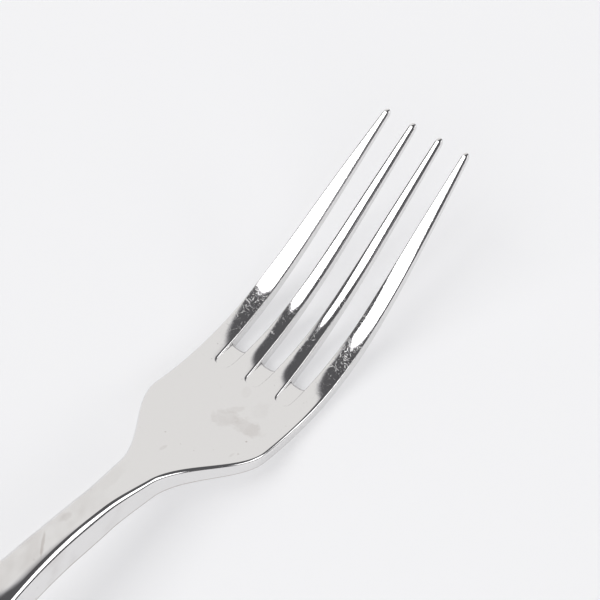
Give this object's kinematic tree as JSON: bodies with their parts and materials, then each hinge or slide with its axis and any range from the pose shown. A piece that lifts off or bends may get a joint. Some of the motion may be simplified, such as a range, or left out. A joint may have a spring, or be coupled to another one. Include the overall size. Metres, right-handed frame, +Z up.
{
  "type": "dinner fork",
  "caption": "One-piece polished steel dinner fork with slim tapered tines, curved shoulders, an arched neck and a plain widening handle with a rounded end.",
  "frame": {"origin": "on the table, under the middle of the fork's length and width", "axes": "+X from the end of the handle towards the tips of the tines, +Y to the fork's left, +Z up from the table, with the fork lying hollow side up"},
  "size_m": [0.2, 0.0252, 0.0248],
  "materials": {
    "steel": "polished stainless steel"
  },
  "bodies": {
    "root": {"handle": "steel", "neck": "steel", "palm": "steel", "left_outer_tine": "steel", "left_inner_tine": "steel", "right_inner_tine": "steel", "right_outer_tine": "steel"}
  },
  "joints": []
}
